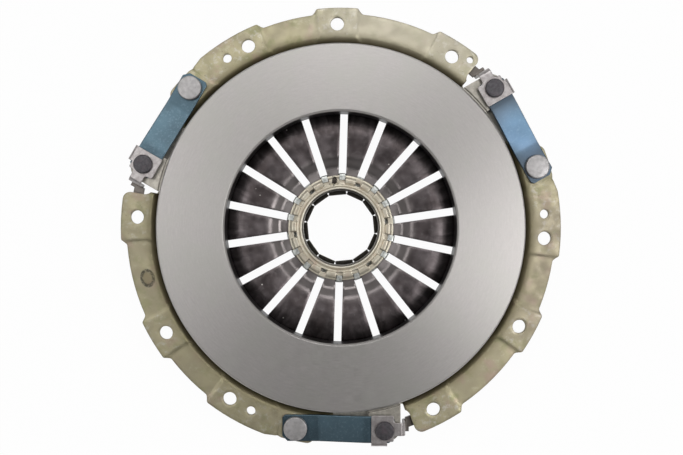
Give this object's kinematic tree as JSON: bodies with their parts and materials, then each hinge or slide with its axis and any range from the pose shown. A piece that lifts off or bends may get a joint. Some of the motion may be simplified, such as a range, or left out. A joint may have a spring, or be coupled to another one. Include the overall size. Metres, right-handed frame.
{
  "type": "clutch pressure plate",
  "caption": "Pull-type diaphragm-spring clutch cover assembly: pressed cover, cast friction plate on drive straps, slotted spring and release ring.",
  "frame": {"origin": "centre of the bolt circle on the plane of the cover's bolt pads", "axes": "+Z along the clutch axis, from the cover towards the flywheel; the part lies on its back"},
  "size_m": [0.29, 0.2871, 0.0428],
  "materials": {
    "cover_steel": "yellow passivated zinc on pressed steel, satin",
    "cast_iron": "ground friction face, machined rims, cast back",
    "spring_steel": "oil-tempered and shot-peened, dark",
    "blued_strap_steel": "blue tempered strip",
    "pale_rivet_steel": "satin zinc",
    "dark_rivet_steel": "phosphated",
    "clip_steel": "bare formed strip, satin",
    "collar_steel": "pale passivated zinc on turned steel",
    "tab_steel": "zinc on formed strip",
    "retainer_steel": "black phosphate",
    "wire_steel": "drawn spring wire"
  },
  "bodies": {
    "cover": {"cover": "cover_steel", "pivot_ring": "wire_steel", "diaphragm_spring": "spring_steel", "cover_strap_rivets": "pale_rivet_steel", "strap_a_leaf_1": "blued_strap_steel", "strap_a_leaf_2": "blued_strap_steel", "strap_a_leaf_3": "blued_strap_steel", "strap_b_leaf_1": "blued_strap_steel", "strap_b_leaf_2": "blued_strap_steel", "strap_b_leaf_3": "blued_strap_steel", "strap_c_leaf_1": "blued_strap_steel", "strap_c_leaf_2": "blued_strap_steel", "strap_c_leaf_3": "blued_strap_steel"},
    "pressure_plate": {"pressure_plate": "cast_iron", "plate_strap_rivets": "dark_rivet_steel", "stop_clip_a": "clip_steel", "stop_clip_b": "clip_steel", "stop_clip_c": "clip_steel"},
    "release_ring": {"release_collar": "collar_steel", "tab_ring": "tab_steel", "bearing_retainer": "retainer_steel", "snap_ring": "wire_steel"}
  },
  "joints": [
    {"name": "plate_lift", "type": "slide", "parent": "cover", "child": "pressure_plate", "axis": [0, 0, -1], "range_m": [0, 0.0046], "stiffness_N_per_m": 20000, "springref_m": -0.01, "deforming": ["strap_a_leaf_1", "strap_a_leaf_2", "strap_a_leaf_3", "strap_b_leaf_1", "strap_b_leaf_2", "strap_b_leaf_3", "strap_c_leaf_1", "strap_c_leaf_2", "strap_c_leaf_3"]},
    {"name": "release_pull", "type": "slide", "parent": "cover", "child": "release_ring", "axis": [0, 0, -1], "range_m": [0, 0.0168], "deforming": ["diaphragm_spring"]}
  ],
  "couplings": [
    {"joint": "release_pull", "follows": "plate_lift", "ratio": 3.652}
  ]
}
